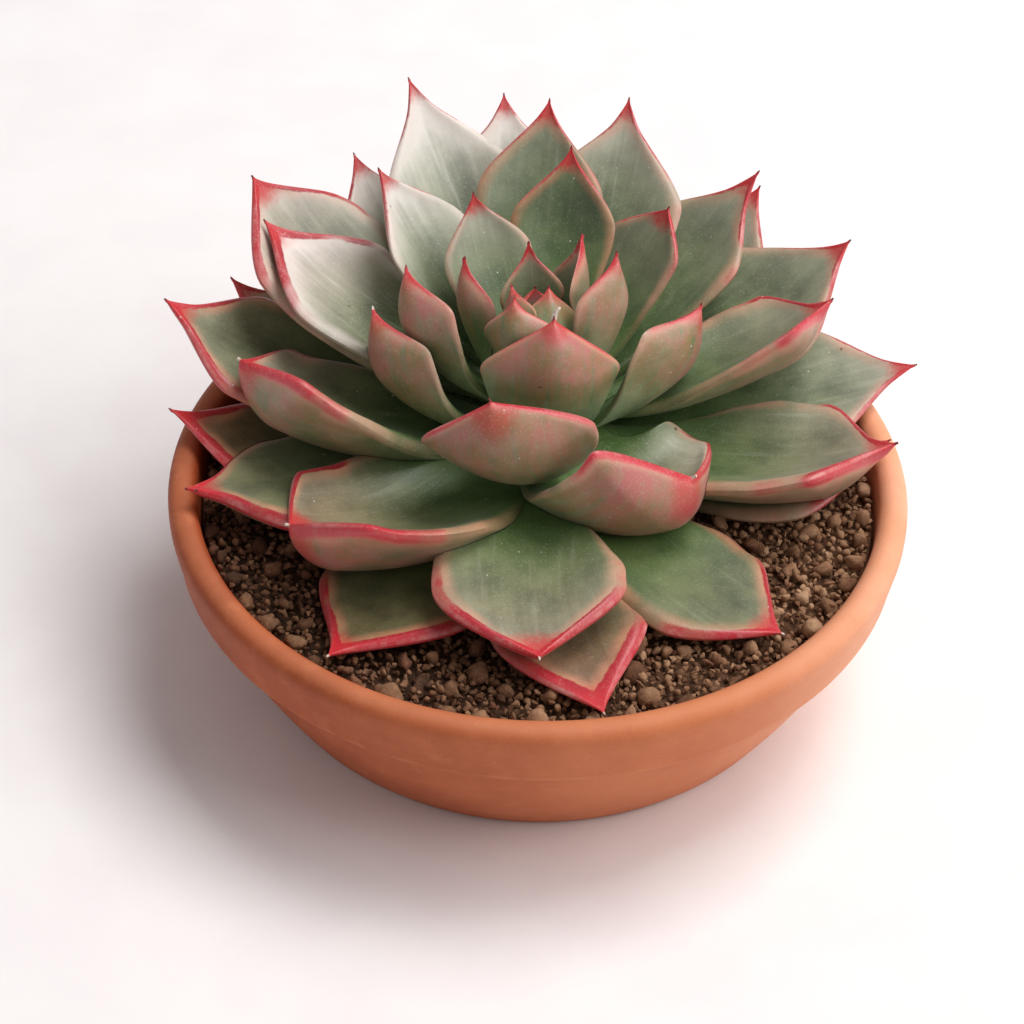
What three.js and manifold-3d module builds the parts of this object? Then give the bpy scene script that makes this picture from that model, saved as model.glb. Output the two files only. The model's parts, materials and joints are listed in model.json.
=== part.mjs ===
// A shallow terracotta bowl filled with grit, and one rosette of Echeveria 'Orion' growing in it.
// Millimetres, +Z up. The origin is the middle of the bowl's flat foot. Azimuths are degrees from +X
// towards +Y, so the side that is usually looked at, from -Y and above, is azimuth -90.
import * as THREE from "three";
import { mergeVertices } from "three/addons/utils/BufferGeometryUtils.js";
import Module from "manifold-3d";

const wasm = await Module();
wasm.setup();

// Driving dimensions
const GAP = 0.3; // between pieces that touch

const RIM_RADIUS = 90; // outside of the rolled rim
const BOWL_HEIGHT = 52;
const BEAD = 3.5; // radius of the rim's rolled edge
const BAND_HEIGHT = 16; // the upright band, from the top of the rim to its lower edge
const BAND_RADIUS = 88.4; // at the band's lower edge
const BAND_FOOT = BOWL_HEIGHT - BAND_HEIGHT;
const BAND_EDGE = 0.8; // chamfer at the band's lower edge
const BODY_RADIUS = 86; // just under the band
const FOOT_RADIUS = 69;
const BULGE = 1; // of the body between foot and band
const WALL = 6.5;
const FLOOR = 7;
const DRAIN_RADIUS = 4;
const DRAIN_CIRCLE = 30; // radius of the circle that the drainage holes stand on
const ROUND = 52; // facets round the bowl

const GRIT_LEVEL = 45; // top of the fill, before its granules
const GRIT_RADIUS = RIM_RADIUS - 2 * BEAD - 1; // inside the bowl's wall
const GRANULES = 46; // that stand out of its surface
const GRANULE_SMALLEST = 2; // radius
const GRANULE_LARGEST = 3.6;
const GRANULES_FROM = 37; // they lie in a ring, from this distance from the middle
const GRANULES_TO = 77; // to this one
const STEM_FOOT = 38; // the stem stands in a hole of this depth in the grit
const STEM_BEND = 46; // above this height it leans and narrows
const STEM_TOP = 82;
const STEM_BACK_LOW = 13; // how far the stem stands behind the middle of the bowl, low down
const STEM_BACK_HIGH = 9; // and at its top
const STEM_RADIUS_LOW = 11;
const STEM_RADIUS_HIGH = 5;
const STEM_FACETS = 14;

const PLANT = new THREE.Vector3(0, 12, 0); // the rosette grows a little behind the middle of the bowl

// The rosette, ring by ring from the outermost, and each ring leaf by leaf.
// Each row: azimuth of the tip, its reach from the plant's middle, its height, the leaf's width, and
// what is particular to that leaf. level is the height of its root on the stem, bow how far the blade
// sags below the line from root to tip, cup how far its margins stand up, shoulder where along the leaf
// it starts to close in, sharp how drawn out its point is, turn how much further round the stem than
// the tip the root stands and the blade faces, lean how far the blade swings out sideways between root
// and tip, both towards larger azimuths, roll how far the blade is twisted, in degrees, base its width
// at the stem and plump its thickness, both as parts of its widest.
const RINGS = [
  {
    level: 52,
    bow: 0,
    cup: 0.1,
    plump: 0.13,
    leaves: [
      [-80, 93, 49, 37, { lean: -4, sharp: 0.4 }],
      [-49, 87, 50, 36, { lean: -5, shoulder: 0.7, sharp: 0.4, roll: -2, plump: 0.16 }],
      [-121, 90, 50, 42, { lean: 1, bow: 2, roll: 8, plump: 0.16 }],
      [-3, 86, 58, 39, { level: 48, lean: -4, bow: 5 }],
      [-178, 91, 60, 36, { level: 49, lean: 3, bow: 6 }],
      [-160, 89, 58, 42, { bow: 2, shoulder: 0.68, sharp: 1, roll: 10, plump: 0.19 }],
      [42, 76, 55, 38, { level: 50, bow: 2 }],
      [76, 82, 58, 38, { bow: 2 }],
      [112, 82, 58, 38, { level: 50, bow: 3 }],
      [148, 80, 55, 38, { level: 49, bow: 6 }],
    ],
  },
  {
    level: 56,
    bow: 5,
    cup: 0.25,
    leaves: [
      [-89, 84, 58, 44, { level: 55, lean: -3, bow: 0, shoulder: 0.7, sharp: 0.2 }],
      [
        -140,
        75.5,
        64,
        48,
        { level: 59, turn: 20, lean: 7, bow: 7, base: 0.4, shoulder: 0.86, sharp: -0.3, cup: 0.45, roll: 8 },
      ],
      [13, 97, 61, 42, { level: 56, lean: 3, bow: 5, plump: 0.13, sharp: 0.8, roll: 8 }],
      [-10, 87, 66, 45, { level: 59, turn: -20, bow: 8, cup: 0.35, shoulder: 0.75, sharp: 1, roll: -8 }],
      [156, 87, 72, 36, { level: 52, bow: 9 }],
      [171, 94, 80, 39, { level: 53, lean: -1, bow: 8, shoulder: 0.72, sharp: 0.9 }],
      [126, 86, 88, 36, { bow: 8 }],
      [98, 87, 97, 48, { bow: 8, sharp: 0.8 }],
      [50, 86, 84, 40, { level: 53, turn: 10, bow: 8 }],
    ],
  },
  {
    level: 59,
    bow: 7,
    cup: 0.3,
    leaves: [
      [29, 88, 84, 42, { lean: 2, bow: 8, roll: 5 }],
      [149, 86, 97, 43, { bow: 9, shoulder: 0.72, sharp: 0.4, roll: 2 }],
      [-177, 73, 77, 42, { turn: 30, shoulder: 0.78, sharp: 0.3, cup: 0.45, roll: 10, plump: 0.21 }],
      [
        -43,
        50,
        70,
        50,
        { level: 62, turn: -22, lean: -5, bow: 9, base: 0.5, shoulder: 0.84, sharp: 0, cup: 0.55, roll: -4 },
      ],
      [47, 79, 94, 32, { lean: 4, cup: 0.35, sharp: 0.9 }],
      [116, 83, 108, 36, { lean: -3, sharp: 0.8 }],
      [75, 79, 103, 38, { lean: -1, sharp: 0.8 }],
    ],
  },
  {
    level: 64,
    bow: 6,
    cup: 0.35,
    leaves: [
      [155, 77, 92, 36, { lean: 2, bow: 4 }],
      [16, 74, 82, 33, { turn: -25, cup: 0.5, shoulder: 0.78, sharp: 1, roll: -9 }],
      [90, 65, 109, 32, { lean: 2 }],
      [137, 57, 104, 29, { lean: -3, cup: 0.4, roll: 10 }],
      [-109, 36, 91, 42, { level: 60, turn: 16, lean: 1, bow: 8, shoulder: 0.7, sharp: 0, cup: 0.25 }],
    ],
  },
  {
    level: 68,
    bow: 5,
    cup: 0.35,
    base: 0.35,
    leaves: [
      [49, 46, 98, 25, { lean: 1, base: 0.6, shoulder: 0.75, sharp: 0.2, roll: -10 }],
      [83, 47, 107, 26, {}],
      [120, 36, 103, 24, {}],
      [13, 39, 88, 27, { level: 62, turn: -50, base: 0.55, roll: -14 }],
      [175, 41, 88, 28, { level: 62, turn: 45, bow: 8, roll: 10 }],
      [166, 34, 97, 26, { turn: 45, bow: 6, roll: 10 }],
    ],
  },
  {
    level: 68,
    bow: 3,
    cup: 0.4,
    base: 0.4,
    sharp: 0.8,
    leaves: [
      [-78, 12, 98, 34, { level: 64, turn: -6, bow: 5, shoulder: 0.52, sharp: 0.15, base: 0.65 }],
      [22, 18, 104, 20, { turn: -60 }],
      [150, 22, 98, 16, { turn: 30, cup: 0.7, roll: 20 }],
    ],
  },
  {
    level: 74,
    bow: 1,
    cup: 0.4,
    base: 0.5,
    shoulder: 0.5,
    sharp: 1,
    leaves: [
      [108, 13, 102, 17, {}],
      [66, 21, 100, 17, { turn: -30, cup: 0.8, roll: -20 }],
      [-150, 8, 98, 18, { turn: 40, bow: 3, shoulder: 0.64 }],
    ],
  },
];

// The youngest leaves, still one tight bud round a small core.
const HEART = {
  level: 84,
  bow: 0.5,
  cup: 0.3,
  base: 0.7,
  shoulder: 0.45,
  sharp: 0.8,
  leaves: [
    [129, 3, 96, 13, {}],
    [166, 8, 97, 12, { turn: 60 }],
    [63, 2, 97, 15, { turn: -130 }],
  ],
};
const HEART_CORE = { radius: 6, flat: 0.75, height: 87 }; // flat is its height over its width

const PLAIN = { plump: 0.17, base: 0.26, shoulder: 0.64, sharp: 0.6, roll: 0, turn: 0, lean: 0 };
const MARGIN_DROP = 0.45; // how far the upper face rounds down at the margin, in thicknesses
const MARGIN_TIGHTNESS = 10; // how near the margin that rounding keeps
const BELLY = 0.6; // how full the lower face is, from 0 for a box to 1 for an ellipse
const TIP_SLOPE = 0.75; // how fast a leaf's last part narrows, in half widths over the part that closes in
const TIP_BLEND = 0.06; // how softly the blade passes into that last part
const ROOT_THICKNESS = 0.62; // of the leaf's full thickness
// How far along a leaf, as parts of its length,
const ROOT_ROUNDED = 0.05; // the rounding of its root reaches,
const FULLY_CUPPED = 0.5; // it is cupped and twisted as far as it gets,
const FULLY_THICK = 0.35; // it is at its thickest,
const FULLY_WIDE = 0.62; // and it is at its widest.
const LEAF_FACETS = 12; // round a leaf
const LEAF_STEPS = 9; // along a leaf

const TERRACOTTA = new THREE.MeshStandardMaterial({ name: "terracotta", color: 0xb5663f, roughness: 0.9 });
const GRIT = new THREE.MeshStandardMaterial({ name: "grit", color: 0x6e4a36, roughness: 1.0 });
const LEAF = new THREE.MeshStandardMaterial({ name: "leaf", color: 0x7d8f75, roughness: 0.6 });
const STEM = new THREE.MeshStandardMaterial({ name: "stem", color: 0x8b8a60, roughness: 0.8 });

const radians = THREE.MathUtils.degToRad;
const mix = THREE.MathUtils.lerp;
const ease = (t) => THREE.MathUtils.smoothstep(t, 0, 1);

// Helpers for solids

function solid(geometry) {
  const bare = geometry.clone();
  bare.deleteAttribute("normal");
  bare.deleteAttribute("uv");
  const merged = mergeVertices(bare, 1e-4);
  return new wasm.Manifold(
    new wasm.Mesh({
      numProp: 3,
      vertProperties: merged.attributes.position.array,
      triVerts: new Uint32Array(merged.index.array),
    }),
  );
}

function geometryOf(body) {
  const mesh = body.getMesh();
  const geometry = new THREE.BufferGeometry();
  geometry.setAttribute("position", new THREE.BufferAttribute(new Float32Array(mesh.vertProperties), 3));
  geometry.setIndex(new THREE.BufferAttribute(new Uint32Array(mesh.triVerts), 1));
  return geometry;
}

// A profile of [radius, height] points turned round the Z axis. It runs up the outside and down the inside.
function turned(profile, facets) {
  const points = profile.map(([radius, height]) => new THREE.Vector2(radius, height));
  return new THREE.LatheGeometry(points, facets).rotateX(Math.PI / 2);
}

function arc(radius, height, bead, from, to, steps) {
  return Array.from({ length: steps + 1 }, (_, i) => {
    const angle = radians(mix(from, to, i / steps));
    return [radius + bead * Math.cos(angle), height + bead * Math.sin(angle)];
  });
}

function direction(azimuth) {
  return new THREE.Vector3(Math.cos(radians(azimuth)), Math.sin(radians(azimuth)), 0);
}

// The largest single body of a solid that a cut may have left in pieces.
function largest(body) {
  const bodies = body.decompose();
  return bodies.reduce((best, each) => (each.volume() > best.volume() ? each : best));
}

// The bowl

// The body leans out from the foot to the band, bulging a little on the way.
function bodyRadius(height) {
  const climb = height / BAND_FOOT;
  return mix(FOOT_RADIUS, BODY_RADIUS, climb) + BULGE * Math.sin(Math.PI * climb);
}

const INSIDE = [
  [bodyRadius(FLOOR) - WALL, FLOOR],
  [bodyRadius(18) - WALL, 18],
  [bodyRadius(28) - WALL, 28],
  [RIM_RADIUS - 2 * BEAD - 0.5, BAND_FOOT + 3],
];

function bowl() {
  const profile = [
    [0, 0],
    ...[0, 6, 12, 18, 24, 30, BAND_FOOT].map((height) => [bodyRadius(height), height]),
    [BAND_RADIUS - BAND_EDGE, BAND_FOOT],
    [BAND_RADIUS, BAND_FOOT + BAND_EDGE],
    ...arc(RIM_RADIUS - BEAD, BOWL_HEIGHT - BEAD, BEAD, 0, 180, 6),
    ...INSIDE.toReversed(),
    [0, FLOOR],
  ];
  return drains().reduce((body, drain) => body.subtract(drain), solid(turned(profile, ROUND)));
}

// Three drainage holes, straight down through the floor.
function drains() {
  return [0, 1, 2].map((i) => {
    const hole = new THREE.CylinderGeometry(DRAIN_RADIUS, DRAIN_RADIUS, 3 * FLOOR, 20).rotateX(Math.PI / 2);
    const { x, y } = direction(90 + 120 * i).multiplyScalar(DRAIN_CIRCLE);
    return solid(hole.translate(x, y, 0));
  });
}

// The stem leans a little towards the front above the grit.
function stemCentre(level) {
  const climb = THREE.MathUtils.clamp((level - STEM_BEND) / (STEM_TOP - STEM_BEND), 0, 1);
  return new THREE.Vector3(0, mix(STEM_BACK_LOW, STEM_BACK_HIGH, climb), level);
}

function stemRadius(level) {
  return mix(STEM_RADIUS_LOW, STEM_RADIUS_HIGH, ease((level - STEM_BEND) / (STEM_TOP - STEM_BEND)));
}

// Leaves

// The line along the middle of a leaf's upper face, and the level direction across the leaf.
function leafLine(leaf) {
  const out = direction(leaf.azimuth + leaf.turn);
  const root = stemCentre(leaf.level).addScaledVector(out, stemRadius(leaf.level) + GAP);
  const tip = PLANT.clone().addScaledVector(direction(leaf.azimuth), leaf.reach).setZ(leaf.height);
  const chord = tip.clone().sub(root);
  const across = new THREE.Vector3(-out.y, out.x, 0);
  const under = across.clone().cross(chord).normalize();
  const bend = root.clone().addScaledVector(chord, 0.55).addScaledVector(under, 2 * leaf.bow);
  bend.addScaledVector(across, 2 * leaf.lean);
  return { curve: new THREE.QuadraticBezierCurve3(root, bend, tip), across };
}

// How full the blade is at s, from 0 at the root to 1 at the tip: it holds its width to the shoulder
// and then closes in, to a drawn-out point where sharp is 1 and to a plain corner where it is 0. The
// last part narrows at an even rate.
function fullness(s, shoulder, sharp) {
  const rest = Math.max(0, (s - shoulder) / (1 - shoulder));
  const closing = mix(1 - rest ** 1.7, 1 - ease(rest), sharp);
  const straight = TIP_SLOPE * (1 - rest);
  const near = Math.max(0, 1 - Math.abs(closing - straight) / TIP_BLEND);
  return Math.max(closing, straight) + (near ** 3 * TIP_BLEND) / 6;
}

// A unit sphere is pulled into the leaf: its poles become the root and the tip, and each ring a section
// that is channelled above, rounded below and blunt along its margins.
function leafGeometry(leaf) {
  const { curve, across } = leafLine(leaf);
  const geometry = new THREE.SphereGeometry(1, LEAF_FACETS, LEAF_STEPS);
  const position = geometry.attributes.position;
  const point = new THREE.Vector3();
  for (let i = 0; i < position.count; i++) {
    point.fromBufferAttribute(position, i);
    const s = THREE.MathUtils.clamp((1 - point.y) / 2, 0, 1) ** 0.85;
    const ring = Math.hypot(point.x, point.z);
    const cos = ring > 1e-6 ? point.x / ring : 0;
    const sin = ring > 1e-6 ? point.z / ring : 0;
    const full = fullness(s, leaf.shoulder, leaf.sharp);
    const rounding = Math.sqrt(1 - (1 - Math.min(1, s / ROOT_ROUNDED)) ** 2);
    const half = (leaf.width / 2) * mix(leaf.base, 1, ease(s / FULLY_WIDE)) * full * rounding;
    const swelling = mix(ROOT_THICKNESS, 1, ease(s / FULLY_THICK)) * full ** 0.6;
    const thick = leaf.width * leaf.plump * swelling * rounding;
    const drop = MARGIN_DROP * cos ** MARGIN_TIGHTNESS;
    const upper = leaf.cup * ease(s / FULLY_CUPPED) * half * cos * cos - thick * drop;
    const up = upper - (sin < 0 ? thick * (1 - drop) * (-sin) ** BELLY : 0);
    const tangent = curve.getTangent(s);
    const side = across.clone().addScaledVector(tangent, -across.dot(tangent)).normalize();
    side.applyAxisAngle(tangent, radians(leaf.roll) * ease(s / FULLY_CUPPED));
    const normal = tangent.clone().cross(side);
    curve.getPoint(s, point).addScaledVector(side, half * cos).addScaledVector(normal, up);
    position.setXYZ(i, point.x, point.y, point.z);
  }
  return geometry;
}

function row([azimuth, reach, height, width, own], ring) {
  const { leaves: _, ...common } = ring;
  return { azimuth, reach, height, width, ...PLAIN, ...common, ...own };
}

// The same body a little larger all round, to cut a neighbour clear of it.
function grown(geometry, by) {
  const bare = geometry.clone();
  bare.deleteAttribute("normal");
  bare.deleteAttribute("uv");
  const merged = mergeVertices(bare, 1e-4);
  merged.computeVertexNormals();
  const { position, normal } = merged.attributes;
  for (let i = 0; i < position.count; i++) {
    position.setXYZ(
      i,
      position.getX(i) + by * normal.getX(i),
      position.getY(i) + by * normal.getY(i),
      position.getZ(i) + by * normal.getZ(i),
    );
  }
  return solid(merged);
}

// The heart: the youngest leaves, joined where they grow from the end of the stem

function heart() {
  const core = new THREE.SphereGeometry(HEART_CORE.radius, LEAF_FACETS, LEAF_STEPS);
  core.scale(1, 1, HEART_CORE.flat).translate(0, stemCentre(STEM_TOP).y, HEART_CORE.height);
  return HEART.leaves.reduce((bud, each) => bud.add(solid(leafGeometry(row(each, HEART)))), solid(core));
}

// Stem, upright where it stands in the grit and leaning above it

function stem() {
  const levels = [0, 0.2, 0.4, 0.6, 0.8, 1].map((climb) => mix(STEM_BEND, STEM_TOP, climb));
  const profile = [
    [0, STEM_FOOT],
    [STEM_RADIUS_LOW, STEM_FOOT],
    ...levels.map((level) => [stemRadius(level), level]),
    [0, STEM_TOP],
  ];
  const geometry = turned(profile, STEM_FACETS);
  const position = geometry.attributes.position;
  for (let i = 0; i < position.count; i++) {
    position.setY(i, position.getY(i) + stemCentre(position.getZ(i)).y);
  }
  return geometry;
}

// Grit: a level fill with the granules of its surface, and a plain hole that the stem stands in

function seededRandom(seed) {
  let state = seed;
  return () => {
    state = (state * 1664525 + 1013904223) % 4294967296;
    return state / 4294967296;
  };
}

function granules(random) {
  const all = [];
  const between = (low, high) => mix(low, high, random());
  while (all.length < GRANULES) {
    const around = between(0, 360);
    const radius = Math.sqrt(between(GRANULES_FROM ** 2, GRANULES_TO ** 2));
    const centre = direction(around).multiplyScalar(radius).setZ(GRIT_LEVEL + between(-0.5, 0.4));
    const size = between(GRANULE_SMALLEST, GRANULE_LARGEST);
    const clear = all.every((other) => other.centre.distanceTo(centre) > 0.8 * (other.size + size));
    if (!clear || centre.distanceTo(stemCentre(GRIT_LEVEL)) < STEM_RADIUS_LOW + GAP + size) continue;
    const stone = new THREE.IcosahedronGeometry(size, 0).scale(1, between(0.7, 1), between(0.6, 0.8));
    stone.rotateZ(between(0, Math.PI)).translate(centre.x, centre.y, centre.z);
    all.push({ centre, size, stone: solid(stone) });
  }
  return all.map(({ stone }) => stone);
}

function grit() {
  const fill = solid(
    turned(
      [
        [0, FLOOR + GAP],
        ...INSIDE.map(([radius, height]) => [radius - 2 * GAP, height + GAP]),
        [GRIT_RADIUS, GRIT_LEVEL],
        [0, GRIT_LEVEL],
      ],
      ROUND,
    ),
  );
  const depth = BOWL_HEIGHT - STEM_FOOT + GAP;
  const hole = new THREE.CylinderGeometry(STEM_RADIUS_LOW + GAP, STEM_RADIUS_LOW + GAP, depth, STEM_FACETS);
  const { y } = stemCentre(STEM_BEND);
  hole.rotateX(Math.PI / 2).translate(0, y, STEM_FOOT - GAP + depth / 2);
  const whole = granules(seededRandom(7)).reduce((body, stone) => body.add(stone), fill);
  return largest(whole.subtract(solid(hole)));
}

// The plant in its bowl

const plant = new THREE.Group();
function add(name, geometry, material) {
  const mesh = new THREE.Mesh(geometry, material);
  mesh.name = name;
  plant.add(mesh);
}

// From the heart outwards, each leaf gives way to the stem and to the leaves inside it, as young leaves
// press their shape into the older ones. The grit gives way to the leaves that lie on it.
const stemBody = stem();
const heartBody = heart();
const inner = [grown(stemBody, GAP), grown(geometryOf(heartBody), GAP)];
const leaves = RINGS.flatMap((ring, r) =>
  ring.leaves.map((each, i) => {
    const name = `leaf_ring${r + 1}_${i + 1}`;
    return { name, geometry: leafGeometry(row(each, ring)) };
  }),
);
const cut = leaves.toReversed().map(({ name, geometry }) => {
  const body = largest(inner.reduce((left, other) => left.subtract(other), solid(geometry)));
  inner.push(grown(geometry, GAP));
  return { name, body };
});
const gritBody = largest(inner.slice(2).reduce((left, other) => left.subtract(other), grit()));

add("bowl", geometryOf(bowl()), TERRACOTTA);
add("grit", geometryOf(gritBody), GRIT);
add("stem", stemBody, STEM);
add("heart_bud", geometryOf(heartBody), LEAF);
for (const { name, body } of cut.toReversed()) add(name, geometryOf(body), LEAF);

export default plant;
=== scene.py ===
# %% [markdown]
# # An orion echeveria in a terracotta bowl
# A rosette of plump, red-edged leaves grows in grit in a shallow clay bowl. The CAD model gives every
# solid its place: the bowl, the grit, the stem, the heart of the rosette and each leaf. Here each of them
# gets the finish of the real thing. All lengths are metres, +Z is up, and a size written in millimetres
# is multiplied by MM.

import json
import math

import bmesh
import bpy
import numpy as np
from mathutils import Matrix, Vector

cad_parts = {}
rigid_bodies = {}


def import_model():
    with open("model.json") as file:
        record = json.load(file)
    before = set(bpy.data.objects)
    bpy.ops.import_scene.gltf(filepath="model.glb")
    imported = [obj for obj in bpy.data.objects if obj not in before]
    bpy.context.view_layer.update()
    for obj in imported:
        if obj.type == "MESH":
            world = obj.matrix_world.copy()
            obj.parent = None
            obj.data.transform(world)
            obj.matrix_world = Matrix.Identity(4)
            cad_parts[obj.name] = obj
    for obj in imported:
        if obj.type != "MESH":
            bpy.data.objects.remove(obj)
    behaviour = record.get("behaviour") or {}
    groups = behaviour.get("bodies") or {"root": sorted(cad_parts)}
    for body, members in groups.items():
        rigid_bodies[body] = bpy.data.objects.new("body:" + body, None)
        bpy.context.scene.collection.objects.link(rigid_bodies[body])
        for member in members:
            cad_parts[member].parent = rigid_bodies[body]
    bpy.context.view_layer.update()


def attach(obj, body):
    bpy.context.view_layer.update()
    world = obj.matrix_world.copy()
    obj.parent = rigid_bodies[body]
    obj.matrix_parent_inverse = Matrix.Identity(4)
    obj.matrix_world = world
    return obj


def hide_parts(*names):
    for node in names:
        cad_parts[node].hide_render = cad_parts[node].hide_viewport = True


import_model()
MM = 0.001

# %% [markdown]
# ## Wires and a bench
# Every finish and every rule of growth below is a tree of nodes. Laying Math nodes one at a time hides
# what they work out, so a socket is wrapped in a Wire, and a sum on a Wire lays the node that does it.
# Any other node comes from Bench.add, which takes its type, its settings and what goes into its sockets.


# %% The wire and the bench
def paint(code):
    """A colour as it looks on a screen, such as "#C06A42", as the linear colour that Blender mixes."""
    parts = [int(code[i : i + 2], 16) / 255 for i in (1, 3, 5)]
    return tuple(p / 12.92 if p <= 0.04045 else ((p + 0.055) / 1.055) ** 2.4 for p in parts) + (1.0,)


def maths(operation, reflected=False):
    """The method of one operation. A reflected one has its wire on the right, as in 1 - mask."""
    if reflected:
        return lambda self, other: self.work(operation, other, self)
    return lambda self, *others: self.work(operation, self, *others)


class Wire:
    """One socket of a tree. Arithmetic on it adds the Math or Vector Math node that works it out."""

    def __init__(self, bench, socket):
        self.bench, self.socket = bench, socket

    def work(self, operation, *values):
        vector = any(isinstance(v, Wire) and v.socket.type == "VECTOR" for v in values)
        kind = "ShaderNodeVectorMath" if vector else "ShaderNodeMath"
        return self.bench.add(kind, {"operation": operation}, dict(enumerate(values)))

    __add__, __radd__ = maths("ADD"), maths("ADD", reflected=True)
    __sub__, __rsub__ = maths("SUBTRACT"), maths("SUBTRACT", reflected=True)
    __mul__, __rmul__ = maths("MULTIPLY"), maths("MULTIPLY", reflected=True)
    __truediv__, __pow__ = maths("DIVIDE"), maths("POWER")
    least, most, under = maths("MINIMUM"), maths("MAXIMUM"), maths("LESS_THAN")
    soft_most, __abs__, sine, cosine = maths("SMOOTH_MAX"), maths("ABSOLUTE"), maths("SINE"), maths("COSINE")
    dot, cross, distance = maths("DOT_PRODUCT"), maths("CROSS_PRODUCT"), maths("DISTANCE")
    length, unit = maths("LENGTH"), maths("NORMALIZE")

    def __neg__(self):
        return self * -1

    def rise(self, low, high):
        """0 up to low, 1 from high on, and an easy curve between; with low over high it falls."""
        return self.bench.add(
            "ShaderNodeMapRange",
            {"interpolation_type": "SMOOTHSTEP"},
            {"Value": self, "From Min": low, "From Max": high},
        )

    def parts(self):
        """The X, Y and Z of a vector."""
        first = self.bench.add("ShaderNodeSeparateXYZ", inputs={0: self})
        return [Wire(self.bench, socket) for socket in first.socket.node.outputs]


class Bench:
    """A tree of nodes that is being built."""

    def __init__(self, tree):
        self.tree = tree

    def add(self, kind, settings=None, inputs=None, out=None):
        node = self.tree.nodes.new(kind)
        for name, value in (settings or {}).items():
            if name == "stops":
                self.set_stops(node.color_ramp, value)
            else:
                setattr(node, name, value)
        for key, value in (inputs or {}).items():
            for each in value if isinstance(value, list) else [value]:
                self.feed(self.find(node.inputs, key), each)
        return Wire(self, self.find(node.outputs, out)) if len(node.outputs) else node

    def shape(self, kind, settings=None, **inputs):
        """A node that works on geometry. A socket's name has _ for a space."""
        inputs = {name.replace("_", " "): value for name, value in inputs.items()}
        return self.add("GeometryNode" + kind, settings, inputs)

    def set_stops(self, ramp, stops):
        for element, (place, colour) in zip(ramp.elements, (stops[0], stops[-1])):
            element.position, element.color = place, colour
        for place, colour in stops[1:-1]:
            ramp.elements.new(place).color = colour

    def find(self, sockets, key):
        """A socket by its place or its name, and the first that is in use where no key is given."""
        if isinstance(key, int):
            return sockets[key]
        return next(s for s in sockets if s.enabled and key in (None, s.name))

    def feed(self, socket, value):
        if isinstance(value, Wire):
            self.tree.links.new(value.socket, socket)
        elif socket.type == "VECTOR" and isinstance(value, (int, float)):
            socket.default_value = (value,) * 3
        else:
            socket.default_value = value

    def vector(self, x, y, z):
        return self.add("ShaderNodeCombineXYZ", inputs={0: x, 1: y, 2: z})

    def blend(self, first, second, share):
        """Two colours mixed, each a wire or a colour code, with the given share of the second."""
        first, second = (paint(colour) if isinstance(colour, str) else colour for colour in (first, second))
        return self.add("ShaderNodeMix", {"data_type": "RGBA"}, {"Factor": share, "A": first, "B": second})

    def between(self, low, high, share):
        """A number on the way from low to high."""
        return self.add("ShaderNodeMix", {"data_type": "FLOAT"}, {"Factor": share, "A": low, "B": high})

    def cloud(self, place, size, detail=3.0, roughness=0.5):
        """Noise of 0 to 1 in blots of about the given size, in the units of place."""
        inputs = {"Vector": place, "Scale": 1 / size, "Detail": detail, "Roughness": roughness}
        return self.add("ShaderNodeTexNoise", None, inputs, out=0)

    def cells(self, place, scale):
        """How far a point is from the middle of its cell, and the cell's three random numbers."""
        inputs = {"Vector": place, "Scale": scale}
        distance = self.add("ShaderNodeTexVoronoi", None, inputs, out="Distance")
        return distance, self.add("ShaderNodeTexVoronoi", None, inputs, out="Color").parts()

    def ramp(self, value, *stops):
        """The colour at a value of 0 to 1, between stops that are a place and a colour code each."""
        stops = [(place, paint(code)) for place, code in stops]
        return self.add("ShaderNodeValToRGB", {"stops": stops}, {0: value})

    def noted(self, name):
        """The three numbers that a shape carries under the given name."""
        return self.add("ShaderNodeAttribute", {"attribute_name": name}, out="Vector").parts()

    def relief(self, strength, distance, height):
        """What bends the Normal as if the surface rose by the distance where the height is 1."""
        inputs = {"Strength": strength, "Distance": distance, "Height": height}
        return self.add("ShaderNodeBump", None, inputs)

    def dress(self, looks):
        """Gives each named socket of a material's shader its number or its wire."""
        for name, value in looks.items():
            self.feed(self.tree.nodes["Principled BSDF"].inputs[name], value)


def finish_bench(name):
    """A new material, the bench that its tree is built on, and its Object coordinates."""
    material = bpy.data.materials.new(name)
    material.use_nodes = True
    bench = Bench(material.node_tree)
    return material, bench, bench.add("ShaderNodeTexCoord", out="Object")


def show(name, data, material=None):
    """A new object at the origin: a mesh, in the material if one is given, a camera or a light."""
    obj = bpy.data.objects.new(name, data)
    bpy.context.collection.objects.link(obj)
    if material:
        data.materials.clear()
        data.materials.append(material)
    return obj


print("wires and bench ready")

# %% [markdown]
# ## Camera, floor and light
# The picture is taken from the front and about 40 degrees above, from 60 cm away with a long lens, and
# turned by a hair. The bowl stands on pale paper. A high soft light behind on the right is the main one,
# so the shadow falls softly to the front left. A second, lower one from the right brightens that side of
# the bowl, and the pale surroundings fill the shadows.

# %% Camera
FRAME_PIXELS = 1024
FOCAL_PIXELS = 2454
AXIS_X, AXIS_Y = 538.7, 473.5  # where the lens's axis meets the picture
ELEVATION = math.radians(40.6)
TILT = math.radians(1.7)
DISTANCE = 0.6
AIM = Vector((0, 0, 0.05))

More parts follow.
